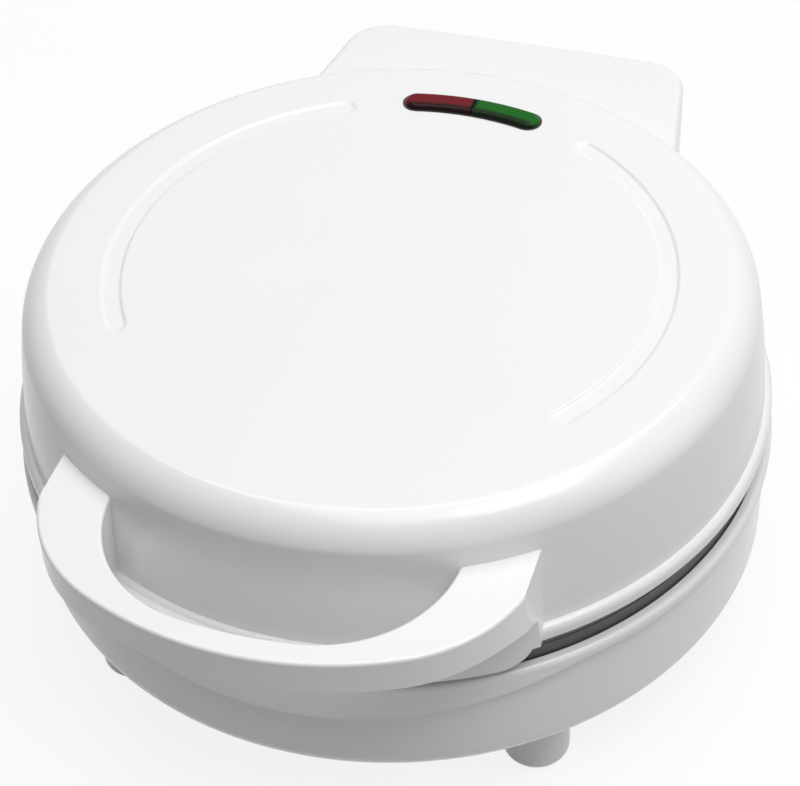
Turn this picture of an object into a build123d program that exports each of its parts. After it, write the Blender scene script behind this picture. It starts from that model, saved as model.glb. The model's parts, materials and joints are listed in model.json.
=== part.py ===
"""Mini donut maker: a round hinged cooker with two ring mould plates, one STEP file per piece.

Millimetres, +Z up, front towards -Y. The origin is on the table, under the middle of the whole object.
"""
import os
from math import asin, cos, degrees, radians, sin, sqrt

from build123d import *

# Heights of the stack, from the table up
pad_proud = 1.0                 # rubber pad below the foot
foot_length = 18.8              # foot below the base shell
base_height = 35.4              # base shell, bottom to rim top
shell_gap = 8.0                 # rim top of the base to flange of the lid
lid_height = 41.1               # flange of the lid to its flat top
parting_gap = 0.3               # between the two closed plates

# Cooking plate, which the shells are built around
plate_radius = 100.8
pocket_clearance = 0.4
pocket_radius = plate_radius + pocket_clearance
ledge_width = 6.8               # plate edge over the ledge that it seats on
ledge_inner_radius = plate_radius - ledge_width
ledge_depth = 1.6               # plate edge sunk below the rim

# Base shell
shell_wall = 2.6
rim_wall = 2.8                  # outside the pocket of the lower plate
rim_radius = pocket_radius + rim_wall
rim_edge_radius = 1.4
rim_bead_face = 3.0             # rim top to where the bead turns under
rim_bead_height = 5.0           # rim top to where the bead runs into the wall
base_wall_inset = 1.7           # wall inside the rim
base_wall_radius = rim_radius - base_wall_inset
base_wall_bulge = 0.4
base_corner_height = 6.4        # rounded edge between wall and bottom
base_corner_width = 7.8
base_apron_depth = 11.7         # deeper front of the rim, at its middle
base_apron_half_width = 72.0
base_apron_flare = 0.5

# Lid shell
flange_wall = 2.0               # outside the pocket of the upper plate
flange_radius = pocket_radius + flange_wall
flange_height = 4.2
bead_radius = 1.9
wall_foot_inset = 2.1           # foot of the wall inside the flange
wall_foot_radius = flange_radius - wall_foot_inset
wall_flare = 3.1                # foot of the wall outside its shoulder
shoulder_radius = wall_foot_radius - wall_flare
wall_belly = 0.5
shoulder_drop = 7.4
shoulder_width = 7.5
shoulder_slope = 22.0           # degrees at which the flat top breaks into the shoulder
crown_radius = shoulder_radius - shoulder_width
groove_inset = 16.8             # groove's middle line inside the flat top's edge
groove_circle_radius = crown_radius - groove_inset
groove_width = 6.0
groove_depth = 1.3
groove_start = 29.0             # degrees from the back, without the rounded end
groove_end = 125.7
top_turn = 1.9                  # degrees that the grooves and the indicator sit off the middle plane

# Handle, with the apron that hangs under it in front of the gap
handle_projection = 25.2
handle_reach = flange_radius + handle_projection
handle_half_width = 63.6        # at the apron's lower edge
handle_side_draft = 1.8         # how much narrower each side is at the top
handle_top_drop = 13.0          # below the lid top
grip_front_radius = 92.0
grip_corner_radius = 42.0
grip_width = 6.8
grip_arm_width = 18.9
grip_gap_half_width = handle_half_width - grip_arm_width
grip_gap_reach = handle_reach - grip_width
grip_gap_front_radius = 110.0
grip_gap_corner_radius = 34.0
grip_height = 9.7
arm_curve_radius = 42.0         # underside of the arms, where they deepen towards the lid
arm_curve_run = 37.0
arm_curve_lap = 9.3             # end of the curve behind where the arm's side meets the flange
handle_edge_radius = 0.9
apron_wall = 3.0
apron_gap = 0.8                 # to the edge of the lower plate
apron_radius = plate_radius + apron_gap + apron_wall
apron_drop = 5.4
apron_side_inset = 1.6          # apron's side inside the handle's widest place
apron_corner_radius = 8.0
apron_top_drop = 0.8

# Hinge and its hood
hinge_offset = 15.8             # pin axis behind the flange
hinge_reach = flange_radius + hinge_offset
hinge_rise = 2.8                # pin axis above the parting plane
pin_radius = 2.5
pin_clearance = 0.05
bush_wall = 1.5
bush_flange_radius = 6.2
bush_flange = 1.0
bush_play = 0.2
ear_radius = 7.0
ear_room = 23.0                 # ear's inner face inside the hood's rear half width
ear_width = 12.0
knuckle_width = 6.5
clip_thickness = 0.8
clip_radius = 4.4
pin_end = 1.4
ear_root_depth = 10.0           # ear's root on the base, below the rim
hood_overhang = 18.0            # rear wall behind the pin axis
hood_reach = hinge_reach + hood_overhang
hood_front_half_width = 59.4
hood_rear_half_width = 52.0
ear_inner = hood_rear_half_width - ear_room
hood_bite = 17.2                # how far the hood's plan runs into the lid
hood_front = flange_radius - hood_bite
hood_corner_radius = 14.0
hood_top_drop = 17.8            # below the lid top
hood_wall = 2.4
hood_tail = 8.0                 # rear wall below the pin axis
hood_tail_gap = 3.3             # tail behind the flange
hood_tail_front = flange_radius + hood_tail_gap
hood_edge_radius = 2.4

# Cooking plates
plate_thickness = 3.0
plate_edge_width = 3.8
ring_spacing = 60.0
ring_major_radius = 16.5
ring_minor_radius = 10.0
ring_wall = 2.5
mould_edge_radius = 0.8
drip_groove_inset = 6.4
drip_groove_radius = plate_radius - drip_groove_inset
drip_groove_width = 2.0
drip_groove_depth = 0.9
post_inset = 16.8
post_circle = plate_radius - post_inset
post_radius = 5.0
post_angles = (30.0, 150.0, 210.0, 330.0)
post_end_depth = 22.4           # post end below the parting plane
plate_screw_radius = 2.0
plate_screw_head_radius = 3.8
plate_screw_head = 2.4
plate_screw_length = 31.0
plate_screw_sink = 0.2          # head below the plate's face
plate_screw_slot = 1.2
screw_clearance = 0.15

# Heating elements, reflectors and controls
element_circle = ring_spacing     # so that it runs under the middle of the outer moulds
element_radius = 3.3
element_clearance = 0.05
element_leg_spacing = 30.0
element_leg_bend = 8.0
element_leg_inset = 18.8
element_leg_end = plate_radius - element_leg_inset
element_pin_radius = 1.1
element_pin_length = 5.0
cradle_width = 11.0
cradle_lap = 0.6                # cradle wall below the element's axis
reflector_clearance = 2.6       # to the ledge
reflector_radius = ledge_inner_radius - reflector_clearance
reflector_thickness = 0.8
reflector_rim_height = 7.0
reflector_centre_hole = 17.5
leg_slot_width = 9.0
thermostat_cap_radius = 8.0
thermostat_cap_height = 4.2
thermostat_body_radius = 7.2
thermostat_body_height = 6.5
thermostat_ear_length = 32.0
thermostat_ear_width = 9.0
thermostat_ear = 0.8
thermostat_screw_offset = 12.0
thermostat_pad_radius = 16.0
thermostat_pad_depth = 1.2
blade_width = 6.3
blade_thickness = 0.8
blade_length = 6.5
blade_offset = 3.6
small_screw_radius = 1.3
small_screw_head_radius = 2.6
small_screw_head = 1.6
small_screw_depth = 4.0
fuse_radius = 2.1
fuse_length = 11.0
fuse_x = -42.0
fuse_y = 4.0
fuse_clip_wall = 0.7
fuse_clip_width = 5.0
fuse_clip_span = 13.0
terminal_size = (30.0, 13.0, 10.4)
terminal_inset = 34.8           # middle of the block inside the plate's edge
terminal_y = plate_radius - terminal_inset
terminal_hole_radius = 2.4
terminal_screw_spacing = 9.0

# Cord inlet
inlet_height = 12.0             # bore axis above the underside of the base
gland_bore_radius = 3.6
gland_radius = 6.0
gland_flange_radius = 8.0
gland_flange = 2.2
gland_barb = 0.9
inlet_boss_radius = 10.5
inlet_proud = 0.3               # face of the boss outside the wall
inlet_face_reach = base_wall_radius + base_wall_bulge + inlet_proud
inlet_boss_length = 10.0
inlet_inner_reach = inlet_face_reach - inlet_boss_length

# Feet
foot_inset = 15.7               # foot axis inside the wall
foot_circle = base_wall_radius + base_wall_bulge - foot_inset
foot_angle = 41.6               # degrees from the front and from the back
foot_circle_x = foot_circle * sin(radians(foot_angle))
foot_circle_y = foot_circle * cos(radians(foot_angle))
foot_radius = 9.1
foot_edge_radius = 3.5
foot_spigot_radius = 4.0
foot_spigot_length = 2.6
foot_pad_radius = 5.2
foot_pad_depth = 1.4
foot_screw_radius = 1.6
foot_screw_head_radius = 3.2
foot_screw_head = 1.8
foot_screw_length = 13.0

# Screws of the handle and the hood
side_screw_radius = 1.7
side_screw_head_radius = 3.4
side_screw_head = 2.0
side_screw_length = 10.0
arm_middle = handle_half_width - grip_arm_width / 2
handle_screw_angle = degrees(asin(arm_middle / flange_radius))
handle_screw_drop = 18.3        # below the lid top
hood_screw_angle = 17.0         # from the back
hood_screw_drop = 26.3
hood_boss_radius = 4.6
hood_boss_length = 11.0

# Indicator
indicator_inset = 16.6          # its middle line inside the flat top's edge
indicator_circle = crown_radius - indicator_inset
indicator_width = 8.2
indicator_half_angle = 13.0     # without the rounded ends
bezel_wall = 0.6
bezel_proud = 0.35
lens_proud = 1.5
lens_edge_radius = 1.2
lens_gap = 0.3
holder_width = 13.0
holder_depth = 9.0
holder_floor = 1.6
holder_divider = 2.0
lamp_radius = 2.3
lamp_length = 8.0
lamp_angle = 7.0
lamp_lead_radius = 0.5

# Air vents in the underside and internal leads
vent_width = 3.0
vent_angle = 17.0
vent_rows = (34.0, 44.0)
vents_per_row = 12
lead_radius = 1.2
lead_turn_room = 4.5            # from a terminal pin to the lead's first turn
lead_wall_room = 7.0
lead_terminal_rise = 3.6
lead_outside = 4.0
lead_hinge_gap = 7.5
wire_hole_radius = 5.0
wire_height_drop = 29.0         # below the lid top

# Levels and places worked out from the values above
foot_bottom = pad_proud
base_bottom = foot_bottom + foot_length
rim_top = base_bottom + base_height
parting = rim_top + shell_gap / 2
flange_bottom = rim_top + shell_gap
lid_top = flange_bottom + lid_height
handle_top = lid_top - handle_top_drop
hood_top = lid_top - hood_top_drop
hinge_z = parting + hinge_rise
plate_face = parting - parting_gap / 2
ledge_top = rim_top - ledge_depth
base_floor = base_bottom + shell_wall
lid_ceiling = lid_top - shell_wall
mould_axis = plate_face - mould_edge_radius
mould_bottom = mould_axis - ring_minor_radius - ring_wall
element_z = mould_bottom - element_radius - element_clearance
post_end = parting - post_end_depth
reflector_bottom = post_end - reflector_thickness
inlet_z = base_bottom + inlet_height
body_y = (handle_reach - hood_reach) / 2


def disc(radius, bottom, top, x=0.0, y=0.0):
    """Upright cylinder between two levels."""
    standing = (Align.CENTER, Align.CENTER, Align.MIN)
    return Pos(x, y, bottom) * Cylinder(radius, top - bottom, align=standing)


def ring(outer, inner, bottom, top, x=0.0, y=0.0):
    """Upright tube between two levels."""
    return disc(outer, bottom, top, x, y) - disc(inner, bottom - 1, top + 1, x, y)


def block(x_low, x_high, y_low, y_high, z_low, z_high):
    """Box between two corners."""
    middle = ((x_low + x_high) / 2, (y_low + y_high) / 2, (z_low + z_high) / 2)
    return Pos(*middle) * Box(x_high - x_low, y_high - y_low, z_high - z_low)


def turned(*edges):
    """Solid of revolution about the body axis, from edges given as (radius, height)."""
    return revolve(Plane.XZ * make_face(Curve() + list(edges)), axis=Axis.Z)


def along_y(radius, start, end, x, z):
    """Cylinder along Y between two places."""
    return Pos(x, (start + end) / 2, z) * Rot(90, 0, 0) * Cylinder(radius, end - start)


def along_x(radius, start, end, y, z):
    """Cylinder along X between two places."""
    return Pos((start + end) / 2, y, z) * Rot(0, 90, 0) * Cylinder(radius, end - start)


def polar(radius, angle):
    """Point on a circle, with the angle in degrees from +X."""
    return radius * cos(radians(angle)), radius * sin(radians(angle))


def both_sides(shape):
    """The shape and its mirror image across the middle plane."""
    return [shape, mirror(shape, about=Plane.YZ)]


def to_lid(shape):
    """Mirror image across the parting plane."""
    return mirror(shape, about=Plane.XY.offset(parting))


def group(shapes):
    """Separate solids kept in one node."""
    return Compound([solid for shape in shapes for solid in shape.solids()])


def chain(points):
    """Straight edges through points given in order."""
    return [Line(a, b) for a, b in zip(points[:-1], points[1:])]


# Lid shell

shoulder_bottom = lid_top - shoulder_drop
bead_top = flange_bottom + flange_height
belly_point = (
    (shoulder_radius + wall_foot_radius) / 2 + wall_belly,
    (shoulder_bottom + bead_top) / 2,
)


def lid_outside():
    """Solid inside the lid's outer surface, without grooves and openings."""
    slope = (cos(radians(shoulder_slope)), -sin(radians(shoulder_slope)))
    crown = (crown_radius, lid_top)
    shoulder = (shoulder_radius, shoulder_bottom)
    foot = (wall_foot_radius, bead_top)
    bead_start = (flange_radius - bead_radius, bead_top)
    bead_end = (flange_radius, bead_top - bead_radius)
    return turned(
        Line((0, flange_bottom), (0, lid_top)),
        Line((0, lid_top), crown),
        TangentArc(crown, shoulder, tangent=slope),
        ThreePointArc(shoulder, belly_point, foot),
        Line(foot, bead_start),
        TangentArc(bead_start, bead_end, tangent=(1, 0)),
        Line(bead_end, (flange_radius, flange_bottom)),
        Line((flange_radius, flange_bottom), (0, flange_bottom)),
    )


def lid_inside():
    """Hollow of the lid, with the pocket and the ledge that the upper plate seats in."""
    ledge = flange_bottom + ledge_depth
    ledge_back = ledge + shell_wall
    foot = (wall_foot_radius - shell_wall, ledge_back + shell_wall)
    shoulder = (shoulder_radius - shell_wall, shoulder_bottom)
    crown = (crown_radius - shell_wall, lid_ceiling)
    below = flange_bottom - 1
    return turned(
        *chain([
            crown, (0, lid_ceiling), (0, below), (pocket_radius, below), (pocket_radius, ledge),
            (ledge_inner_radius, ledge), (ledge_inner_radius, ledge_back),
            (wall_foot_radius - shell_wall, ledge_back), foot,
        ]),
        Line(foot, shoulder),
        Line(shoulder, crown),
    )


def groove_cutter():
    """Rounded channel along an arc of the lid top, with ball ends."""
    radius = (groove_width ** 2 / 4 + groove_depth ** 2) / (2 * groove_depth)
    height = lid_top + radius - groove_depth
    section = Plane.XZ * Pos(groove_circle_radius, height) * Circle(radius)
    sweep_angle = groove_end - groove_start
    channel = Rot(0, 0, 90 - groove_end) * revolve(section, axis=Axis.Z, revolution_arc=sweep_angle)
    for angle in (groove_start, groove_end):
        x, y = polar(groove_circle_radius, 90 - angle)
        channel += Pos(x, y, height) * Sphere(radius)
    return channel


def indicator_slot(width, bottom, top, start=-indicator_half_angle, end=indicator_half_angle):
    """Upright prism over a curved slot at the back of the lid top."""
    arc = CenterArc((0, 0), indicator_circle, 90 + start, end - start)
    return Pos(0, 0, bottom) * extrude(SlotArc(arc, width), top - bottom)


def turned_top(shape):
    """The shape turned with the marks on the lid top."""
    return Rot(0, 0, -top_turn) * shape


lid_solid = lid_outside()


def side_screw_axis(angle_from_x, drop):
    """Location on the body axis, at a depth below the lid top, whose X points outward at the angle."""
    return Pos(0, 0, lid_top - drop) * Rot(0, 0, angle_from_x)


def radial_rod(radius, start, end, angle_from_x, drop):
    return side_screw_axis(angle_from_x, drop) * along_x(radius, start, end, 0, 0)


handle_screw_angles = (-90 - handle_screw_angle, -90 + handle_screw_angle)
hood_screw_angles = (90 - hood_screw_angle, 90 + hood_screw_angle)
side_screw_seat = shoulder_radius - shell_wall


def make_lid_shell():
    shell = lid_solid - lid_inside()
    for angle in post_angles:
        x, y = polar(post_circle, angle)
        boss_end = 2 * parting - reflector_bottom
        shell += disc(post_radius, boss_end, lid_ceiling + 0.5, x, y)
        shell -= disc(plate_screw_radius, boss_end - 1, lid_ceiling - 1, x, y)
    for groove in both_sides(groove_cutter()):
        shell -= turned_top(groove)
    shell -= turned_top(indicator_slot(indicator_width - bezel_wall, lid_ceiling - 1, lid_top + 1))
    for angle in handle_screw_angles:
        shell += radial_rod(side_screw_head_radius + 1, side_screw_seat, wall_foot_radius - 2.4, angle,
                            handle_screw_drop) & lid_solid
        shell -= radial_rod(side_screw_radius + screw_clearance, side_screw_seat - 1,
                            wall_foot_radius + 2, angle, handle_screw_drop)
    for angle in hood_screw_angles:
        shell += radial_rod(side_screw_head_radius + 1, side_screw_seat, wall_foot_radius - 2.4, angle,
                            hood_screw_drop) & lid_solid
        shell -= radial_rod(side_screw_radius + screw_clearance, side_screw_seat - 1,
                            wall_foot_radius + 2, angle, hood_screw_drop)
    shell -= along_y(wire_hole_radius, wall_foot_radius - 8, wall_foot_radius + 4, 0,
                     lid_top - wire_height_drop)
    return shell


# Handle

def rounded_front(half_width, reach, front_radius, corner_radius, back):
    """Face bounded by two straight sides, two corner arcs and a front arc towards -Y."""
    centre_y = -reach + front_radius
    corner_x = half_width - corner_radius
    span = front_radius - corner_radius
    corner_y = centre_y - sqrt(span ** 2 - corner_x ** 2)
    lean = asin(corner_x / span)
    tangent_x = front_radius * sin(lean)
    tangent_y = centre_y - front_radius * cos(lean)
    front = ThreePointArc((-tangent_x, tangent_y), (0, -reach), (tangent_x, tangent_y))
    right = TangentArc((half_width, corner_y), (tangent_x, tangent_y), tangent=(0, -1))
    left = TangentArc((-half_width, corner_y), (-tangent_x, tangent_y), tangent=(0, -1))
    sides = chain([(-half_width, corner_y), (-half_width, back), (half_width, back),
                   (half_width, corner_y)])
    return make_face(Curve() + [front, right, left, *sides])


def apron():
    """Deep front edge under the handle, hugging the flange of the lid."""
    bottom = flange_bottom - apron_drop
    top = bead_top - apron_top_drop
    half_width = handle_half_width - apron_side_inset
    front = Plane.XZ * Pos(0, (bottom + top) / 2 + apron_corner_radius) * RectangleRounded(
        2 * half_width, top - bottom + 2 * apron_corner_radius, apron_corner_radius
    )
    wall = ring(apron_radius, apron_radius - apron_wall, bottom, top)
    return wall & extrude(front, apron_radius + 1)


def arm_underside():
    """Space under the grip and its arms, which deepen towards the lid."""
    level = handle_top - grip_height
    arm_meets_flange = sqrt(flange_radius ** 2 - handle_half_width ** 2)
    curve_end = arm_curve_lap - arm_meets_flange
    curve_start = curve_end - arm_curve_run
    depth = arm_curve_radius - sqrt(arm_curve_radius ** 2 - arm_curve_run ** 2)
    low = flange_bottom - apron_drop - 1
    front = -handle_reach - 1
    side = Curve() + [
        *chain([(curve_end, level - depth), (curve_end, low), (front, low), (front, level),
                (curve_start, level)]),
        TangentArc((curve_start, level), (curve_end, level - depth), tangent=(1, 0)),
    ]
    return extrude(Plane.YZ * make_face(side), handle_half_width + 1, both=True)


def drafted_sides():
    """Room between the handle's two sides, which lean in towards the top."""
    bottom = flange_bottom - apron_drop
    top_half = handle_half_width - handle_side_draft
    corners = [(-handle_half_width, bottom), (handle_half_width, bottom), (top_half, handle_top),
               (-top_half, handle_top)]
    return extrude(Plane.XZ * make_face(Polyline(*corners, close=True)), handle_reach + 1)


def make_handle():
    bottom = flange_bottom - apron_drop
    outer = rounded_front(handle_half_width, handle_reach, grip_front_radius, grip_corner_radius,
                          -flange_radius / 2)
    gap = rounded_front(grip_gap_half_width, grip_gap_reach, grip_gap_front_radius,
                        grip_gap_corner_radius, 0)
    plan = Pos(0, 0, bottom) * extrude(outer, handle_top - bottom)
    handle = plan - arm_underside()
    handle += disc(apron_radius, flange_bottom, handle_top) & plan
    handle = handle & drafted_sides()
    handle -= Pos(0, 0, bottom - 1) * extrude(gap, handle_top - bottom + 2)
    rim = [e for e in handle.edges() if e.center().Z > handle_top - 0.01 and e.center().Y < -flange_radius]
    handle = fillet(rim, handle_edge_radius)
    handle += apron()
    handle -= lid_solid
    handle -= disc(apron_radius - apron_wall, bottom - 1, flange_bottom)
    for angle in handle_screw_angles:
        handle -= radial_rod(side_screw_radius, wall_foot_radius - 6,
                             side_screw_seat + side_screw_length + 0.3, angle, handle_screw_drop)
    return handle


# Hood over the hinge

def hood_plan(inset):
    front_half = hood_front_half_width - inset
    rear_half = hood_rear_half_width - inset
    reach = hood_reach - inset
    corners = [(front_half, hood_front), (rear_half, reach), (-rear_half, reach),
               (-front_half, hood_front)]
    face = make_face(Polyline(*corners, close=True))
    rear = [v for v in face.vertices() if v.Y > hood_front + 10]
    return fillet(rear, hood_corner_radius - inset)


knuckle_start = ear_inner + ear_width + bush_play + bush_flange
knuckle_end = knuckle_start + knuckle_width


def make_hood():
    tail_bottom = hinge_z - hood_tail
    solid = Pos(0, 0, tail_bottom) * extrude(hood_plan(0), hood_top - tail_bottom)
    rim = [e for e in solid.edges() if e.center().Z > hood_top - 0.01 and e.center().Y > hood_front + 1]
    solid = fillet(rim, hood_edge_radius)
    solid -= block(-90, 90, 0, hood_tail_front, tail_bottom - 1, flange_bottom)
    hollow = Pos(0, 0, tail_bottom - 1) * extrude(
        hood_plan(hood_wall), hood_top - hood_wall - tail_bottom + 1
    )
    hood = solid - hollow
    for side in (-1, 1):
        low = min(side * knuckle_start, side * knuckle_end)
        high = max(side * knuckle_start, side * knuckle_end)
        hood += along_x(ear_radius, low, high, hinge_reach, hinge_z)
        hood += block(low, high, hinge_reach - ear_radius, hinge_reach + ear_radius, hinge_z,
                      hood_top - hood_wall + 0.5)
    for angle in hood_screw_angles:
        start = wall_foot_radius - 6
        boss = radial_rod(hood_boss_radius, start, wall_foot_radius + hood_boss_length, angle,
                          hood_screw_drop)
        web = side_screw_axis(angle, hood_screw_drop) * block(
            start, wall_foot_radius + hood_boss_length, -1.5, 1.5, 0, hood_screw_drop - hood_top_drop - 1
        )
        hood += boss + web
        hood -= radial_rod(side_screw_radius, start - 1, side_screw_seat + side_screw_length + 0.3,
                           angle, hood_screw_drop)
    hood -= lid_solid
    hood -= along_x(pin_radius + bush_wall, -knuckle_end - 1, knuckle_end + 1, hinge_reach, hinge_z)
    return hood


def make_hinge_pin():
    end = knuckle_end + clip_thickness + pin_end
    pin = along_x(pin_radius, -end, end, hinge_reach, hinge_z)
    return chamfer(pin.edges().filter_by(GeomType.CIRCLE), 0.4)


def make_pin_clips():
    clip = along_x(clip_radius, knuckle_end + 0.2, knuckle_end + 0.2 + clip_thickness, hinge_reach,
                   hinge_z)
    clip -= along_x(pin_radius, knuckle_end - 1, knuckle_end + 3, hinge_reach, hinge_z)
    clip -= block(knuckle_end - 1, knuckle_end + 3, hinge_reach - 1.6, hinge_reach + 1.6,
                  hinge_z - clip_radius - 1, hinge_z)
    return group(both_sides(clip))


def make_hinge_bushes():
    flange_start = knuckle_start - bush_flange
    bush = along_x(bush_flange_radius, flange_start, knuckle_start, hinge_reach, hinge_z)
    bush += along_x(pin_radius + bush_wall, knuckle_start - 0.2, knuckle_end, hinge_reach, hinge_z)
    bush -= along_x(pin_radius + pin_clearance, flange_start - 1, knuckle_end + 1, hinge_reach, hinge_z)
    return group(both_sides(bush))


# Base shell

bead_low = rim_top - rim_bead_height
corner_top = base_bottom + base_corner_height
wall_bottom_radius = base_wall_radius + base_wall_bulge
flat_radius = wall_bottom_radius - base_corner_width


def base_outside():
    """Solid inside the base shell's outer surface, without the apron."""
    edge_start = (rim_radius - rim_edge_radius, rim_top)
    edge_end = (rim_radius, rim_top - rim_edge_radius)
    face_end = (rim_radius, rim_top - rim_bead_face)
    under = ((rim_radius + base_wall_radius) / 2, (face_end[1] + bead_low) / 2)
    wall_top = (base_wall_radius, bead_low)
    corner = (wall_bottom_radius, corner_top)
    flat = (flat_radius, base_bottom)
    wall_middle = (
        (base_wall_radius + wall_bottom_radius) / 2 + base_wall_bulge / 2,
        (bead_low + corner_top) / 2,
    )
    return turned(
        *chain([flat, (0, base_bottom), (0, rim_top), edge_start]),
        TangentArc(edge_start, edge_end, tangent=(1, 0)),
        Line(edge_end, face_end),
        TangentArc(face_end, under, tangent=(0, -1)),
        TangentArc(wall_top, under, tangent=(0, 1)),
        ThreePointArc(wall_top, wall_middle, corner),
        TangentArc(flat, corner, tangent=(1, 0)),
    )


def base_apron():
    """Rim that reaches lower at the front, down to a wide arc."""
    top = rim_top - rim_edge_radius
    low = rim_top - base_apron_depth
    inner = base_wall_radius - shell_wall / 2
    band = turned(*chain([(inner, top), (rim_radius, top), (rim_radius + base_apron_flare, low),
                          (inner, low), (inner, top)]))
    rise = base_apron_depth - rim_bead_face
    arc_radius = (base_apron_half_width ** 2 + rise ** 2) / (2 * rise)
    arc = Pos(0, -rim_radius, low + arc_radius) * Rot(90, 0, 0) * Cylinder(arc_radius, rim_radius * 2 - 2)
    return band & arc


def base_inside():
    ledge_bottom = ledge_top - shell_wall
    wall_radius = base_wall_radius - shell_wall
    low_radius = wall_bottom_radius - shell_wall
    return turned(
        *chain([
            (0, base_floor), (0, rim_top + 1), (pocket_radius, rim_top + 1), (pocket_radius, ledge_top),
            (ledge_inner_radius, ledge_top), (ledge_inner_radius, ledge_bottom),
            (wall_radius, ledge_bottom), (low_radius, corner_top), (flat_radius, base_floor),
            (0, base_floor),
        ])
    )


base_solid = base_outside()


def hinge_ear(x_low, x_high):
    """Arm from the rim of the base to the hinge pin."""
    top_start = (ledge_inner_radius - 4, rim_top)
    top_end = (hinge_reach - 3.5, hinge_z + ear_radius - 0.9)
    low_end = (hinge_reach - 2.0, hinge_z - ear_radius + 0.3)
    low_start = (ledge_inner_radius - 4, rim_top - ear_root_depth)
    arm = make_face(Polyline(top_start, top_end, low_end, low_start, close=True))
    arm = Pos(x_low, 0, 0) * extrude(Plane.YZ * arm, x_high - x_low)
    arm -= base_inside()
    arm -= disc(pocket_radius, ledge_top, rim_top + shell_gap)
    return arm + along_x(ear_radius, x_low, x_high, hinge_reach, hinge_z)


def make_base_shell():
    shell = base_solid + base_apron() - base_inside()
    for x_low in (ear_inner, -ear_inner - ear_width):
        shell += hinge_ear(x_low, x_low + ear_width)
    shell -= along_x(pin_radius, -ear_inner - ear_width - 1, ear_inner + ear_width + 1, hinge_reach,
                     hinge_z)
    for angle in post_angles:
        x, y = polar(post_circle, angle)
        shell += disc(post_radius, base_floor - 0.5, reflector_bottom, x, y)
        shell -= disc(plate_screw_radius, base_floor + 1, reflector_bottom + 1, x, y)
    inlet = along_y(inlet_boss_radius, wall_bottom_radius - 6, inlet_face_reach, 0, inlet_z)
    shell += inlet - disc(wall_bottom_radius - shell_wall, base_bottom, rim_top)
    shell -= along_y(gland_radius, inlet_inner_reach, inlet_face_reach + 2, 0, inlet_z)
    for x in (-foot_circle_x, foot_circle_x):
        for y in (-foot_circle_y, foot_circle_y):
            shell -= disc(foot_spigot_radius, base_bottom - 1, base_floor + 1, x, y)
    turn = 360 / vents_per_row
    for row, radius in enumerate(vent_rows):
        for index in range(vents_per_row):
            arc = CenterArc((0, 0), radius, (index + row / 2) * turn, vent_angle)
            shell -= Pos(0, 0, base_bottom - 1) * extrude(SlotArc(arc, vent_width), shell_wall + 2)
    return shell


def make_foot(x, y):
    leg = disc(foot_radius, foot_bottom, base_bottom + base_corner_height, x, y)
    leg = fillet(leg.edges().sort_by(Axis.Z)[0], foot_edge_radius)
    leg -= base_solid
    leg += disc(foot_spigot_radius, base_bottom - 1, base_bottom + foot_spigot_length, x, y)
    leg -= disc(foot_pad_radius, foot_bottom - 1, foot_bottom + foot_pad_depth, x, y)
    top = base_bottom + foot_spigot_length
    return leg - disc(foot_screw_radius, top - foot_screw_length, top + 1, x, y)


def make_foot_pad(x, y):
    pad = disc(foot_pad_radius, 0, foot_bottom + foot_pad_depth, x, y)
    return fillet(pad.edges().sort_by(Axis.Z)[0], 0.4)


def make_foot_screws():
    top = base_bottom + foot_spigot_length
    screws = []
    for x in (-foot_circle_x, foot_circle_x):
        for y in (-foot_circle_y, foot_circle_y):
            shank = disc(foot_screw_radius, top - foot_screw_length + 0.5, top + 0.5, x, y)
            head = disc(foot_screw_head_radius, top, top + foot_screw_head, x, y)
            screws.append(shank + head - block(x - 0.5, x + 0.5, y - 2.4, y + 2.4,
                                               top + foot_screw_head - 0.8, top + foot_screw_head + 1))
    return group(screws)


# Cooking plates

def ring_places():
    places = [(0.0, 0.0)]
    for index in range(6):
        places.append(polar(ring_spacing, 60 * index))
    return places


def mould_cutter():
    """Half ring with rounded lips, as the dough sees it."""
    inner = ring_major_radius - ring_minor_radius
    outer = ring_major_radius + ring_minor_radius
    lip = mould_edge_radius
    above = plate_face + 1
    bottom = (ring_major_radius, mould_axis - ring_minor_radius)
    return turned(
        TangentArc((inner - lip, plate_face), (inner, mould_axis), tangent=(1, 0)),
        ThreePointArc((inner, mould_axis), bottom, (outer, mould_axis)),
        TangentArc((outer, mould_axis), (outer + lip, plate_face), tangent=(0, 1)),
        *chain([(outer + lip, plate_face), (outer + lip, above), (inner - lip, above),
                (inner - lip, plate_face)]),
    )


def cradle():
    """Ring cast on the plate's back, whose groove holds the heating element."""
    top = mould_bottom + ring_wall
    low = element_z - cradle_lap
    half = cradle_width / 2
    body = ring(element_circle + half, element_circle - half, low, top)
    groove_radius = element_radius + element_clearance
    section = Plane.XZ * Pos(element_circle, element_z) * Circle(groove_radius)
    body -= revolve(section, axis=Axis.Z)
    return body - ring(element_circle + groove_radius, element_circle - groove_radius, low - 1, element_z)


def element_leg_room():
    """Space behind the cradle for the element's two legs."""
    half = element_leg_spacing / 2 + element_leg_bend + 1
    return block(-half, half, element_circle - 8, element_leg_end + 12, element_z - 8,
                 element_z + element_radius + element_clearance)


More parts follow.
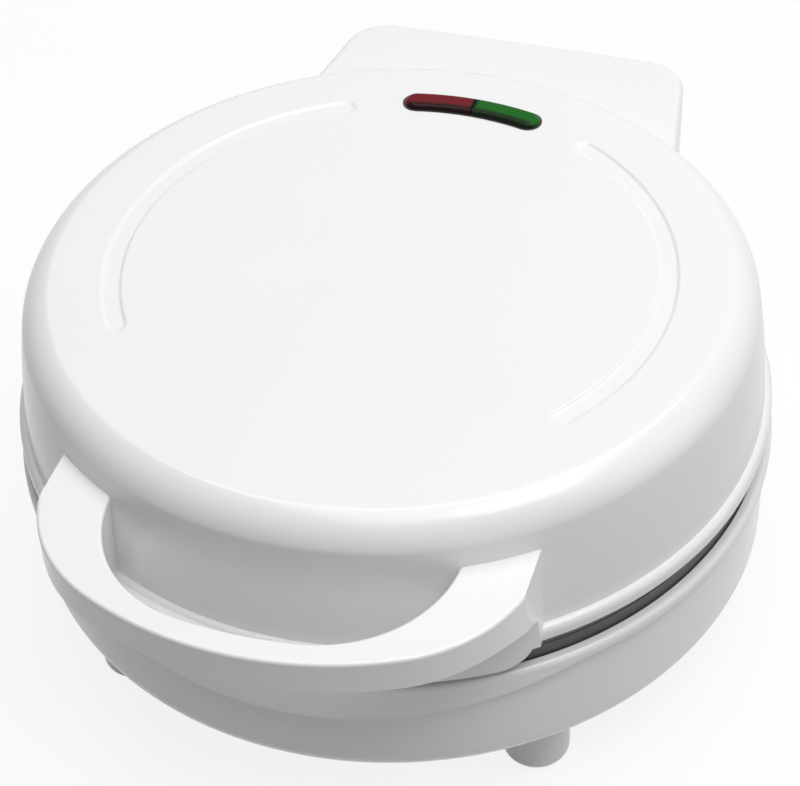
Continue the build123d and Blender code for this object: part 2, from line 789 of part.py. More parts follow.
def make_lower_plate():
    plate = disc(plate_radius, plate_face - plate_thickness, plate_face)
    plate += ring(plate_radius, plate_radius - plate_edge_width, ledge_top, plate_face)
    back = Torus(ring_major_radius, ring_minor_radius + ring_wall) - disc(plate_radius, 0, ring_spacing)
    for x, y in ring_places():
        plate += Pos(x, y, mould_axis) * back
    plate += cradle() - element_leg_room()
    plate += disc(thermostat_pad_radius, mould_bottom - thermostat_pad_depth, mould_bottom + ring_wall)
    for angle in post_angles:
        x, y = polar(post_circle, angle)
        plate += disc(post_radius, post_end, plate_face - 1, x, y)
    cutter = mould_cutter()
    for x, y in ring_places():
        plate -= Pos(x, y, 0) * cutter
    plate -= ring(drip_groove_radius + drip_groove_width / 2, drip_groove_radius - drip_groove_width / 2,
                  plate_face - drip_groove_depth, plate_face + 1)
    for angle in post_angles:
        x, y = polar(post_circle, angle)
        plate -= disc(plate_screw_radius + screw_clearance, post_end - 1, plate_face + 1, x, y)
        plate -= disc(plate_screw_head_radius + screw_clearance,
                      plate_face - plate_screw_head - plate_screw_sink, plate_face + 1, x, y)
    return plate


def thermostat_holes():
    low = mould_bottom - thermostat_pad_depth
    return [disc(small_screw_radius, low - 1, low + small_screw_depth + 0.2, side * thermostat_screw_offset)
            for side in (-1, 1)]


def make_plate_screws():
    screws = []
    seat = plate_face - plate_screw_head - plate_screw_sink
    for angle in post_angles:
        x, y = polar(post_circle, angle)
        head = disc(plate_screw_head_radius, seat, seat + plate_screw_head, x, y)
        shank = disc(plate_screw_radius, seat + plate_screw_head - plate_screw_length, seat + 0.5, x, y)
        half = plate_screw_slot / 2
        reach = plate_screw_head_radius - plate_screw_slot
        slot = block(x - reach, x + reach, y - half, y + half, seat + plate_screw_head - plate_screw_slot,
                     seat + plate_screw_head + 1)
        cross = Pos(x, y, 0) * Rot(0, 0, 90) * Pos(-x, -y, 0) * slot
        screws.append(head + shank - slot - cross)
    return group(screws)


def element_path():
    """Loop about the body axis whose two ends bend out into parallel legs towards the back."""
    half = element_leg_spacing / 2
    bend_x = half + element_leg_bend
    bend_y = sqrt((element_circle + element_leg_bend) ** 2 - bend_x ** 2)
    scale = element_circle / (element_circle + element_leg_bend)
    join = (bend_x * scale, bend_y * scale)
    inward = degrees(asin(join[0] / element_circle))
    towards = (-cos(radians(inward)), sin(radians(inward)))
    right_bend = TangentArc(join, (half, bend_y), tangent=towards)
    left_bend = TangentArc((-join[0], join[1]), (-half, bend_y), tangent=(-towards[0], towards[1]))
    loop = ThreePointArc((-join[0], join[1]), (0, -element_circle), join)
    legs = [Line((half, bend_y), (half, element_leg_end)), Line((-half, bend_y), (-half, element_leg_end))]
    return Wire([loop, right_bend, left_bend, *legs])


def make_lower_element():
    half = element_leg_spacing / 2
    path = Pos(0, 0, element_z) * element_path()
    start = Plane(origin=(half, element_leg_end, element_z), z_dir=(0, 1, 0))
    element = sweep(start * Circle(element_radius), path=path)
    for side in (-1, 1):
        element += along_y(element_pin_radius, element_leg_end - 1, element_leg_end + element_pin_length,
                           side * half, element_z)
    return element


def make_lower_reflector():
    dish = disc(reflector_radius, reflector_bottom, post_end)
    dish += ring(reflector_radius, reflector_radius - reflector_thickness, reflector_bottom,
                 post_end + reflector_rim_height)
    dish -= disc(reflector_centre_hole, reflector_bottom - 1, post_end + 1)
    for angle in post_angles:
        x, y = polar(post_circle, angle)
        dish -= disc(plate_screw_radius + screw_clearance, reflector_bottom - 1, post_end + 1, x, y)
    half = leg_slot_width / 2
    for side in (-1, 1):
        x = side * element_leg_spacing / 2
        dish -= block(x - half, x + half, element_leg_end - 4, reflector_radius + 1, reflector_bottom - 1,
                      post_end + reflector_rim_height + 1)
    return dish


def make_thermostat():
    top = mould_bottom - thermostat_pad_depth
    half_width = thermostat_ear_width / 2
    ear = block(-thermostat_ear_length / 2, thermostat_ear_length / 2, -half_width, half_width,
                top - thermostat_ear, top)
    for x in (-thermostat_screw_offset, thermostat_screw_offset):
        ear -= disc(small_screw_radius + screw_clearance, top - 3, top + 1, x)
    cap_bottom = top - thermostat_cap_height
    body_bottom = cap_bottom - thermostat_body_height
    switch = ear + disc(thermostat_cap_radius, cap_bottom, top)
    switch += disc(thermostat_body_radius, body_bottom, cap_bottom + 0.2)
    for x in (-blade_offset, blade_offset):
        switch += block(x - blade_thickness / 2, x + blade_thickness / 2, -blade_width / 2, blade_width / 2,
                        body_bottom - blade_length, body_bottom + 0.5)
    return switch


def make_thermostat_screws():
    top = mould_bottom - thermostat_pad_depth - thermostat_ear
    screws = []
    for x in (-thermostat_screw_offset, thermostat_screw_offset):
        head = disc(small_screw_head_radius, top - small_screw_head, top, x)
        shank = disc(small_screw_radius, top - 0.5, top + thermostat_ear + small_screw_depth, x)
        screws.append(head + shank)
    return group(screws)


def make_thermal_fuse():
    z = reflector_bottom - fuse_radius
    body = along_y(fuse_radius, fuse_y - fuse_length / 2, fuse_y + fuse_length / 2, fuse_x, z)
    end = fuse_length / 2 + 4
    return body + along_y(0.5, fuse_y - end, fuse_y + end, fuse_x, z)


def make_fuse_clip():
    z = reflector_bottom - fuse_radius
    half = fuse_clip_width / 2
    outer = fuse_radius + fuse_clip_wall
    saddle = along_y(outer, fuse_y - half, fuse_y + half, fuse_x, z)
    saddle += block(fuse_x - outer, fuse_x + outer, fuse_y - half, fuse_y + half, z, reflector_bottom)
    saddle += block(fuse_x - fuse_clip_span / 2, fuse_x + fuse_clip_span / 2, fuse_y - half, fuse_y + half,
                    reflector_bottom - fuse_clip_wall, reflector_bottom)
    start = fuse_y - fuse_clip_width
    end = fuse_y + fuse_clip_width
    saddle -= along_y(fuse_radius, start, end, fuse_x, z)
    return saddle - block(fuse_x - fuse_radius, fuse_x + fuse_radius, start, end, z,
                          reflector_bottom + 1)


def make_terminal_block():
    length, depth, height = terminal_size
    body = block(-length / 2, length / 2, terminal_y - depth / 2, terminal_y + depth / 2, base_floor,
                 base_floor + height)
    for step in (-1, 0, 1):
        x = step * terminal_screw_spacing
        body -= along_y(terminal_hole_radius, terminal_y - depth, terminal_y + depth, x,
                        base_floor + height / 2)
        body -= disc(small_screw_head_radius + 0.2, base_floor + height / 2, base_floor + height + 1, x,
                     terminal_y)
    return body


def make_terminal_screws():
    height = terminal_size[2]
    screws = []
    for step in (-1, 0, 1):
        x = step * terminal_screw_spacing
        screws.append(disc(small_screw_head_radius, base_floor + height / 2 + lead_radius,
                           base_floor + height - 1.5, x, terminal_y))
    return group(screws)


def make_cord_gland():
    face = inlet_face_reach
    gland = along_y(gland_radius, inlet_inner_reach, face + 1, 0, inlet_z)
    gland += along_y(gland_flange_radius, face, face + gland_flange, 0, inlet_z)
    barb_end = base_wall_radius - shell_wall - 0.5
    gland += along_y(gland_radius + gland_barb, barb_end - 1.8, barb_end, 0, inlet_z)
    return gland - along_y(gland_bore_radius, inlet_inner_reach - 1, face + gland_flange + 1, 0, inlet_z)


# Indicator

def make_indicator_bezel():
    proud = lid_top + bezel_proud
    bezel = indicator_slot(indicator_width, lid_top, proud)
    bezel += indicator_slot(indicator_width - bezel_wall, lid_ceiling, lid_top + 0.1)
    bezel -= indicator_slot(indicator_width - 2 * bezel_wall, lid_ceiling - 1, proud + 1)
    return turned_top(bezel)


def middle_block(x_low, x_high, bottom, top):
    """Upright block across the indicator near its middle."""
    return block(x_low, x_high, indicator_circle - indicator_width, indicator_circle + indicator_width,
                 bottom, top)


def make_lens(side):
    """Half of the curved lens, red towards -X and green towards +X."""
    width = indicator_width - 2 * bezel_wall
    lens = indicator_slot(width, lid_ceiling, lid_top + lens_proud)
    top = [e for e in lens.edges() if e.center().Z > lid_top + lens_proud - 0.01]
    lens = fillet(top, lens_edge_radius)
    half = middle_block(lens_gap / 2, indicator_circle, lid_ceiling - 1, lid_top + lens_proud + 1)
    if side < 0:
        half = mirror(half, about=Plane.YZ)
    return turned_top(lens & half)


def make_lamp_holder():
    bottom = lid_ceiling - holder_depth
    extra = 1.5
    holder = indicator_slot(holder_width, bottom, lid_ceiling, -indicator_half_angle - extra,
                            indicator_half_angle + extra)
    inner = indicator_slot(indicator_width - 2 * bezel_wall, bottom + holder_floor, lid_ceiling + 1)
    inner -= middle_block(-holder_divider / 2, holder_divider / 2, bottom, lid_ceiling + 2)
    holder -= inner
    for angle in (-lamp_angle, lamp_angle):
        x, y = polar(indicator_circle, 90 + angle)
        holder -= disc(lamp_radius + 0.05, bottom - 1, bottom + holder_floor + 1, x, y)
    return turned_top(holder)


def make_lamp(side):
    """Small glass lamp standing in the holder under one lens."""
    x, y = polar(indicator_circle, 90 - side * lamp_angle)
    bottom = lid_ceiling - holder_depth
    lamp = disc(lamp_radius, bottom - 0.6, bottom - 0.6 + lamp_length - lamp_radius, x, y)
    lamp += Pos(x, y, bottom - 0.6 + lamp_length - lamp_radius) * Sphere(lamp_radius)
    for step in (-1, 1):
        lamp += disc(lamp_lead_radius, bottom - 4, bottom, x + step * 1.1, y)
    return turned_top(lamp)


# Screws of the handle and the hood

def make_side_screws(angles, drop):
    screws = []
    for angle in angles:
        head = radial_rod(side_screw_head_radius, side_screw_seat - side_screw_head, side_screw_seat,
                          angle, drop)
        shank = radial_rod(side_screw_radius, side_screw_seat - 0.5,
                           side_screw_seat + side_screw_length, angle, drop)
        screws.append(head + shank)
    return group(screws)


# Internal leads

def lead(points, bend=3.0):
    """Insulated lead along straight runs joined by arcs."""
    path = FilletPolyline(*points, radius=bend)
    start = Plane(origin=path @ 0, z_dir=path % 0)
    return sweep(start * Circle(lead_radius), path=path)


def make_base_leads():
    wire_z = base_floor + terminal_size[2] / 2
    front = terminal_y - terminal_size[1] / 2
    back = terminal_y + terminal_size[1] / 2
    blade_low = mould_bottom - thermostat_pad_depth - thermostat_cap_height - thermostat_body_height
    blade_z = blade_low - blade_length / 2
    blade_edge = blade_width / 2 + lead_radius / 20
    leads = []
    leads.append(lead([(0, front + 4, wire_z), (0, front - 9, wire_z), (blade_offset, blade_edge + 16, wire_z),
                       (blade_offset, blade_edge + 5, blade_z), (blade_offset, blade_edge, blade_z)]))
    for side in (-1, 1):
        pin_x = side * element_leg_spacing / 2
        pin_y = element_leg_end + element_pin_length
        leads.append(lead([(pin_x, pin_y, element_z), (pin_x, pin_y + lead_turn_room, element_z),
                           (pin_x, pin_y + lead_turn_room, reflector_bottom - 3),
                           (side * terminal_screw_spacing, back + lead_wall_room, wire_z + lead_terminal_rise),
                           (side * terminal_screw_spacing, back + 0.2, wire_z + lead_terminal_rise)], 2.5))
    return group(leads)


def make_lid_leads():
    """Leads from the hinge, through the back wall of the lid, to the upper element."""
    pin_y = element_leg_end + element_pin_length
    pin_z = 2 * parting - element_z
    hole_z = lid_top - wire_height_drop
    leads = []
    for side in (-1, 1):
        pin_x = side * element_leg_spacing / 2
        inner_x = side * (wire_hole_radius - lead_radius - 0.6)
        leads.append(lead([(pin_x, pin_y, pin_z), (pin_x, pin_y + lead_turn_room, pin_z),
                           (inner_x, wall_foot_radius - lead_wall_room, hole_z),
                           (inner_x, wall_foot_radius + lead_outside, hole_z),
                           (inner_x, hinge_reach - lead_hinge_gap, hinge_z + lead_hinge_gap)], 2.5))
    return group(leads)


# Assembly: every piece is built about the body axis and then set at its place over the origin

nodes = {}
nodes["base_shell"] = make_base_shell()
for front_name, y_side in (("front", -1), ("rear", 1)):
    for side_name, x_side in (("left", -1), ("right", 1)):
        foot_place = (x_side * foot_circle_x, y_side * foot_circle_y)
        nodes[f"foot_{front_name}_{side_name}"] = make_foot(*foot_place)
        nodes[f"foot_pad_{front_name}_{side_name}"] = make_foot_pad(*foot_place)
nodes["foot_screws"] = make_foot_screws()
lower_plate = make_lower_plate()
upper_plate = to_lid(lower_plate)
for hole in thermostat_holes():
    lower_plate -= hole
nodes["lower_plate"] = lower_plate
nodes["lower_plate_screws"] = make_plate_screws()
nodes["lower_element"] = make_lower_element()
nodes["lower_reflector"] = make_lower_reflector()
nodes["thermostat"] = make_thermostat()
nodes["thermostat_screws"] = make_thermostat_screws()
nodes["thermal_fuse"] = make_thermal_fuse()
nodes["fuse_clip"] = make_fuse_clip()
nodes["terminal_block"] = make_terminal_block()
nodes["terminal_screws"] = make_terminal_screws()
nodes["cord_gland"] = make_cord_gland()
nodes["base_leads"] = make_base_leads()
nodes["hinge_pin"] = make_hinge_pin()
nodes["pin_clips"] = make_pin_clips()

nodes["lid_shell"] = make_lid_shell()
nodes["lid_handle"] = make_handle()
nodes["handle_screws"] = make_side_screws(handle_screw_angles, handle_screw_drop)
nodes["hinge_hood"] = make_hood()
nodes["hood_screws"] = make_side_screws(hood_screw_angles, hood_screw_drop)
nodes["hinge_bushes"] = make_hinge_bushes()
nodes["upper_plate"] = upper_plate
nodes["upper_plate_screws"] = to_lid(nodes["lower_plate_screws"])
nodes["upper_element"] = to_lid(nodes["lower_element"])
nodes["upper_reflector"] = to_lid(nodes["lower_reflector"])
nodes["indicator_bezel"] = make_indicator_bezel()
nodes["lens_red"] = make_lens(-1)
nodes["lens_green"] = make_lens(1)
nodes["lamp_holder"] = make_lamp_holder()
nodes["lamp_red"] = make_lamp(-1)
nodes["lamp_green"] = make_lamp(1)
nodes["lid_leads"] = make_lid_leads()

os.makedirs("parts", exist_ok=True)
for name, shape in nodes.items():
    export_step(Pos(0, body_y, 0) * shape, f"parts/{name}.step")
print(len(nodes), "nodes")
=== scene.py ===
"""Mini donut maker: finishes, fine shapes, light and camera around the fixed frame.

Metres, in the frame's own place: +Z up, the handle towards -Y, the table at Z 0.
"""
import json
from math import atan2, cos, degrees, hypot, pi, radians, sin

import bmesh
import bpy
from mathutils import Matrix, Vector


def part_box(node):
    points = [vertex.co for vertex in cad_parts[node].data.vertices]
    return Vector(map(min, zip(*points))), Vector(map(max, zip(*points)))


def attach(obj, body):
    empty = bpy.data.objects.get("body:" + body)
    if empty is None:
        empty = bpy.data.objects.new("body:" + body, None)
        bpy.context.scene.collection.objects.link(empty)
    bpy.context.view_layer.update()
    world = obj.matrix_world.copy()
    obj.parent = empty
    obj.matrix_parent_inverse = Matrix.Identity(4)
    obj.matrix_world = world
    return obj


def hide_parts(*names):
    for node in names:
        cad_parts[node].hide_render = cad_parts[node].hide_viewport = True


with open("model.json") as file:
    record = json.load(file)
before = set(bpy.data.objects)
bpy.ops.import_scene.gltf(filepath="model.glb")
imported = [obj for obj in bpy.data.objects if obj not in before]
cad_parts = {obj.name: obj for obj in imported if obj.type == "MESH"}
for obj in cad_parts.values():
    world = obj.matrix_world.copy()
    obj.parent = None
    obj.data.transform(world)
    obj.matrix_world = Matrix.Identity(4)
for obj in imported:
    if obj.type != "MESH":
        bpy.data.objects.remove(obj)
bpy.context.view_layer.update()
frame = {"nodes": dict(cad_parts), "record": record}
MM = 0.001

# Places read from the frame
plate_low, plate_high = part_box("lower_plate")
body_y = (plate_low.y + plate_high.y) / 2
body_centre = Vector((0, body_y, 0))
lid_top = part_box("lid_shell")[1].z


# Node helpers for materials

class Nodes:
    """A material's node tree with short calls for adding and joining nodes."""

    def __init__(self, name):
        self.material = bpy.data.materials.new(name)
        self.material.use_nodes = True
        self.tree = self.material.node_tree
        self.shader = self.tree.nodes["Principled BSDF"]
        self.place = self.add("ShaderNodeTexCoord")

    def add(self, kind, **settings):
        node = self.tree.nodes.new(kind)
        for key, value in settings.items():
            setattr(node, key, value)
        return node

    def join(self, source, target):
        self.tree.links.new(source, target)

    def noise(self, scale, detail=3.0, roughness=0.5):
        node = self.add("ShaderNodeTexNoise")
        node.inputs["Scale"].default_value = scale
        node.inputs["Detail"].default_value = detail
        node.inputs["Roughness"].default_value = roughness
        self.join(self.place.outputs["Object"], node.inputs["Vector"])
        return node.outputs["Fac"]

    def spread(self, source, low, high, from_low=0.3, from_high=0.7):
        """Maps a grey pattern to values between low and high."""
        node = self.add("ShaderNodeMapRange")
        node.inputs["From Min"].default_value = from_low
        node.inputs["From Max"].default_value = from_high
        node.inputs["To Min"].default_value = low
        node.inputs["To Max"].default_value = high
        self.join(source, node.inputs["Value"])
        return node.outputs["Result"]

    def colours(self, source, first, second):
        """Mixes two colours by a grey pattern."""
        node = self.add("ShaderNodeMix", data_type="RGBA")
        node.inputs["A"].default_value = (*first, 1)
        node.inputs["B"].default_value = (*second, 1)
        self.join(source, node.inputs["Factor"])
        return node.outputs["Result"]

    def bump(self, source, strength, distance):
        node = self.add("ShaderNodeBump")
        node.inputs["Strength"].default_value = strength
        node.inputs["Distance"].default_value = distance
        self.join(source, node.inputs["Height"])
        self.join(node.outputs["Normal"], self.shader.inputs["Normal"])

    def set(self, **values):
        for key, value in values.items():
            self.shader.inputs[key.replace("_", " ")].default_value = value

    def paint(self, name, output):
        self.join(output, self.shader.inputs[name])


def moulded_plastic(name, colour, roughness, grain=0.004):
    """Glossy moulding with a faint mottle, uneven polish and a fine surface grain."""
    nodes = Nodes(name)
    mottle = nodes.spread(nodes.noise(14.0), 0.0, 1.0)
    darker = tuple(c * 0.988 for c in colour)
    nodes.paint("Base Color", nodes.colours(mottle, darker, colour))
    nodes.paint("Roughness", nodes.spread(nodes.noise(30.0), roughness - 0.015, roughness + 0.015))
    nodes.bump(nodes.noise(1600.0, 2.0), 0.2, grain * MM)
    nodes.set(IOR=1.46)
    return nodes.material


def nonstick_coating(name):
    """Dark sprayed coating with fine pale flecks."""
    nodes = Nodes(name)
    flecks = nodes.spread(nodes.noise(900.0, 1.0), 0.0, 1.0, 0.66, 0.74)
    nodes.paint("Base Color", nodes.colours(flecks, (0.09, 0.09, 0.093), (0.16, 0.16, 0.165)))
    nodes.paint("Roughness", nodes.spread(nodes.noise(160.0), 0.36, 0.5))
    nodes.bump(nodes.noise(1100.0, 3.0), 0.5, 0.012 * MM)
    nodes.set(IOR=1.5)
    return nodes.material


def metal(name, colour, roughness, grain_scale=(1.0, 1.0, 1.0), grain=600.0):
    """Bare metal with a drawn or rolled grain."""
    nodes = Nodes(name)
    mapping = nodes.add("ShaderNodeMapping")
    mapping.inputs["Scale"].default_value = grain_scale
    nodes.join(nodes.place.outputs["Object"], mapping.inputs["Vector"])
    pattern = nodes.add("ShaderNodeTexNoise")
    pattern.inputs["Scale"].default_value = grain
    pattern.inputs["Detail"].default_value = 4.0
    nodes.join(mapping.outputs["Vector"], pattern.inputs["Vector"])
    darker = tuple(c * 0.82 for c in colour)
    nodes.paint("Base Color", nodes.colours(nodes.spread(pattern.outputs["Fac"], 0.0, 1.0), darker, colour))
    nodes.paint("Roughness", nodes.spread(pattern.outputs["Fac"], roughness - 0.06, roughness + 0.08))
    nodes.bump(pattern.outputs["Fac"], 0.3, 0.01 * MM)
    nodes.set(Metallic=1.0)
    return nodes.material


def matte(name, colour, roughness, grain=500.0):
    """Matt rubber, nylon or sleeving with a soft grain."""
    nodes = Nodes(name)
    mottle = nodes.spread(nodes.noise(120.0), 0.0, 1.0)
    darker = tuple(c * 0.9 for c in colour)
    nodes.paint("Base Color", nodes.colours(mottle, darker, colour))
    nodes.paint("Roughness", nodes.spread(nodes.noise(200.0), roughness - 0.05, roughness + 0.05))
    nodes.bump(nodes.noise(grain, 4.0), 0.4, 0.03 * MM)
    return nodes.material


# How far from the body axis a lens turns from painted shade at the front to painted light at the rear, and
# half the dark line between the two lenses
LENS_FRONT = 71.6
LENS_MIDDLE = 73.2
DIVIDER_INSIDE = 0.5
DIVIDER_OUTSIDE = 1.3
# The grooves and the indicator stand a little off the line from handle to hinge, in degrees
TOP_TURN = 1.9


def lens_plastic(name, painted_shade_colour, painted_lit_colour):
    """Tinted clear plastic with painted shade towards the front, painted light on its rear half, and a dark
    joint line between the two lenses.
    """
    nodes = Nodes(name)
    centre = nodes.add("ShaderNodeVectorMath", operation="SUBTRACT")
    centre.inputs[1].default_value = (0, body_y, lid_top)
    nodes.join(nodes.place.outputs["Object"], centre.inputs[0])
    level = nodes.add("ShaderNodeVectorMath", operation="MULTIPLY")
    level.inputs[1].default_value = (1, 1, 0)
    nodes.join(centre.outputs["Vector"], level.inputs[0])
    reach = nodes.add("ShaderNodeVectorMath", operation="LENGTH")
    nodes.join(level.outputs["Vector"], reach.inputs[0])
    # Painted light: the lens colour brightens from here outwards, and painted shade lies nearer the front
    painted_light_rear = nodes.spread(reach.outputs["Value"], 0.0, 1.0, LENS_FRONT * MM, LENS_MIDDLE * MM)
    across = nodes.add("ShaderNodeMapping")
    across.inputs["Rotation"].default_value = (0, 0, radians(TOP_TURN))
    nodes.join(centre.outputs["Vector"], across.inputs["Vector"])
    parts = nodes.add("ShaderNodeSeparateXYZ")
    nodes.join(across.outputs["Vector"], parts.inputs["Vector"])
    side = nodes.add("ShaderNodeMath", operation="ABSOLUTE")
    nodes.join(parts.outputs["X"], side.inputs[0])
    clear = nodes.spread(side.outputs[0], 0.0, 1.0, DIVIDER_INSIDE * MM, DIVIDER_OUTSIDE * MM)
    painted_light_and_joint = nodes.add("ShaderNodeMath", operation="MULTIPLY")
    nodes.join(painted_light_rear, painted_light_and_joint.inputs[0])
    nodes.join(clear, painted_light_and_joint.inputs[1])
    # Painted shade and painted light as colour, multiplied by the dark joint line between the lenses
    nodes.paint("Base Color", nodes.colours(painted_light_and_joint.outputs[0], painted_shade_colour, painted_lit_colour))
    nodes.paint("Roughness", nodes.spread(nodes.noise(300.0), 0.08, 0.16))
    nodes.bump(nodes.noise(260.0, 2.0), 0.25, 0.02 * MM)
    nodes.set(IOR=1.35, Specular_IOR_Level=0.2)
    return nodes.material


WHITE = (0.84, 0.84, 0.84)
finishes = {
    "white_plastic": moulded_plastic("white_plastic", WHITE, 0.2),
    "handle_plastic": moulded_plastic("handle_plastic", WHITE, 0.21),
    "foot_plastic": moulded_plastic("foot_plastic", WHITE, 0.24),
    "nonstick_aluminium": nonstick_coating("nonstick_coating"),
    "heater_sheath": metal("heater_sheath", (0.30, 0.27, 0.25), 0.42),
    "reflector_sheet": metal("reflector_sheet", (0.74, 0.75, 0.76), 0.28, (1.0, 12.0, 1.0), 90.0),
    "zinc_steel": metal("zinc_steel", (0.66, 0.67, 0.66), 0.32),
    "pin_steel": metal("pin_steel", (0.62, 0.63, 0.65), 0.22, (1.0, 10.0, 10.0), 300.0),
    "bush_nylon": matte("bush_nylon", (0.74, 0.72, 0.66), 0.45),
    "pad_rubber": matte("pad_rubber", (0.46, 0.46, 0.45), 0.7),
    "gland_rubber": matte("gland_rubber", (0.62, 0.62, 0.61), 0.6),
    "terminal_nylon": matte("terminal_nylon", (0.72, 0.70, 0.63), 0.5),
    "terminal_brass": metal("terminal_brass", (0.74, 0.55, 0.26), 0.3),
    "thermostat_body": matte("thermostat_body", (0.06, 0.045, 0.04), 0.5),
    "fuse_case": metal("fuse_case", (0.60, 0.61, 0.62), 0.3),
    "lead_sleeve": matte("lead_sleeve", (0.70, 0.70, 0.68), 0.6),
    "bezel_plastic": moulded_plastic("bezel_plastic", (0.018, 0.012, 0.012), 0.25),
    # The lenses and the lamp glass carry painted shade at the front and painted light at the rear
    "red_lens": lens_plastic("red_lens", (0.012, 0.0, 0.001), (0.15, 0.003, 0.006)),
    "green_lens": lens_plastic("green_lens", (0.0, 0.012, 0.0), (0.003, 0.115, 0.004)),
    "lamp_glass": lens_plastic("lamp_glass", (0.6, 0.6, 0.58), (0.7, 0.7, 0.68)),
    "holder_plastic": matte("holder_plastic", (0.74, 0.74, 0.73), 0.5),
}

for part in frame["record"]["subparts"]:
    piece = frame["nodes"][part["node"]]
    piece.data.materials.clear()
    piece.data.materials.append(finishes[part["material_slot"]])


# Helpers for turned shapes

def arc_from(start, end, heading, steps):
    """Points of the arc that leaves start at a heading in degrees and reaches end."""
    chord = Vector(end) - Vector(start)
    half_turn = atan2(chord.y, chord.x) - radians(heading)
    radius = chord.length / (2 * sin(half_turn))
    points = []
    for step in range(1, steps + 1):
        part = half_turn * step / steps
        reach = 2 * radius * sin(part)
        points.append((start[0] + reach * cos(radians(heading) + part),
                       start[1] + reach * sin(radians(heading) + part)))
    return points


def bowed(start, end, bow, steps):
    """Points of a line that bows outwards by a small amount in its middle."""
    points = []
    for step in range(1, steps + 1):
        t = step / steps
        points.append((start[0] + (end[0] - start[0]) * t + 4 * bow * t * (1 - t),
                       start[1] + (end[1] - start[1]) * t))
    return points


def spun(outline, steps):
    """Closed shell turned about the body axis from an outline of radius and height in millimetres."""
    mesh = bmesh.new()
    corners = [mesh.verts.new((0, -radius * MM, height * MM)) for radius, height in outline]
    for first, second in zip(corners, corners[1:]):
        mesh.edges.new((first, second))
    bmesh.ops.spin(mesh, geom=mesh.verts[:] + mesh.edges[:], cent=(0, 0, 0), axis=(0, 0, 1), angle=2 * pi,
                   steps=steps, use_merge=True)
    bmesh.ops.remove_doubles(mesh, verts=mesh.verts, dist=0.001 * MM)
    bmesh.ops.recalc_face_normals(mesh, faces=mesh.faces)
    return mesh


def soften(mesh, radius, height, width, segments=3):
    """Rounds the edge that runs round the shell at a radius and height."""
    def on_ring(vert):
        off = abs(hypot(vert.co.x, vert.co.y) - radius * MM) + abs(vert.co.z - height * MM)
        return off < 0.02 * MM
    ring = [edge for edge in mesh.edges if on_ring(edge.verts[0]) and on_ring(edge.verts[1])]
    bmesh.ops.bevel(mesh, geom=ring, offset=width * MM, offset_type="OFFSET", segments=segments, profile=0.5,
                    affect="EDGES", material=-1, clamp_overlap=True)


def finished(mesh, name, body, slot, replaced, sharp=40.0):
    """Places a mesh at the body's centre, shades it and hands it to the frame."""
    bmesh.ops.translate(mesh, verts=mesh.verts, vec=body_centre)
    for edge in mesh.edges:
        edge.smooth = len(edge.link_faces) == 2 and edge.calc_face_angle() < radians(sharp)
    for face in mesh.faces:
        face.smooth = True
    data = bpy.data.meshes.new(name)
    mesh.to_mesh(data)
    mesh.free()
    piece = bpy.data.objects.new(name, data)
    bpy.context.scene.collection.objects.link(piece)
    data.materials.append(finishes[slot])
    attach(piece, body)
    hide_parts(*replaced)
    return piece


SLOT_ARC_STEPS = 24
SLOT_END_STEPS = 16


def curved_slot(circle, width, half_angle, low, high, turn):
    """Upright block with the plan of a curved slot at the back of the lid top."""
    mesh = bmesh.new()
    points = []
    half = radians(half_angle)
    for side in (1, -1):
        for step in range(SLOT_ARC_STEPS + 1):
            angle = side * half * (2 * step / SLOT_ARC_STEPS - 1)
            reach = circle + side * width / 2
            points.append((reach * sin(angle), reach * cos(angle)))
        for step in range(1, SLOT_END_STEPS):
            lean = side * half + pi * step / SLOT_END_STEPS
            reach = side * width / 2
            points.append((circle * sin(side * half) + reach * sin(lean),
                           circle * cos(side * half) + reach * cos(lean)))
    corners = [mesh.verts.new((x * MM, y * MM, low * MM)) for x, y in points]
    floor = mesh.faces.new(corners)
    raised = bmesh.ops.extrude_face_region(mesh, geom=[floor])["geom"]
    bmesh.ops.translate(mesh, verts=[v for v in raised if isinstance(v, bmesh.types.BMVert)],
                        vec=(0, 0, (high - low) * MM))
    bmesh.ops.rotate(mesh, verts=mesh.verts, matrix=Matrix.Rotation(-radians(turn), 3, "Z"))
    bmesh.ops.recalc_face_normals(mesh, faces=mesh.faces)
    return mesh


def cut_out(piece, mesh, crossing=False):
    """Cuts a closed mesh out of a piece for good, and joins the piece's own shells where they cross."""
    bmesh.ops.translate(mesh, verts=mesh.verts, vec=body_centre)
    data = bpy.data.meshes.new("cutter")
    mesh.to_mesh(data)
    mesh.free()
    cutter = bpy.data.objects.new("cutter", data)
    bpy.context.scene.collection.objects.link(cutter)
    cut = piece.modifiers.new("cut", "BOOLEAN")
    cut.operation = "DIFFERENCE"
    cut.solver = "EXACT"
    cut.object = cutter
    cut.use_self = crossing
    graph = bpy.context.evaluated_depsgraph_get()
    result = bpy.data.meshes.new_from_object(piece.evaluated_get(graph))
    piece.modifiers.remove(cut)
    piece.data = result
    bpy.data.objects.remove(cutter)
    cleaned = bmesh.new()
    cleaned.from_mesh(result)
    bmesh.ops.remove_doubles(cleaned, verts=cleaned.verts, dist=0.001 * MM)
    bmesh.ops.dissolve_degenerate(cleaned, edges=cleaned.edges, dist=0.001 * MM)
    cleaned.to_mesh(result)
    cleaned.free()


# Lid shell, in millimetres about the body axis

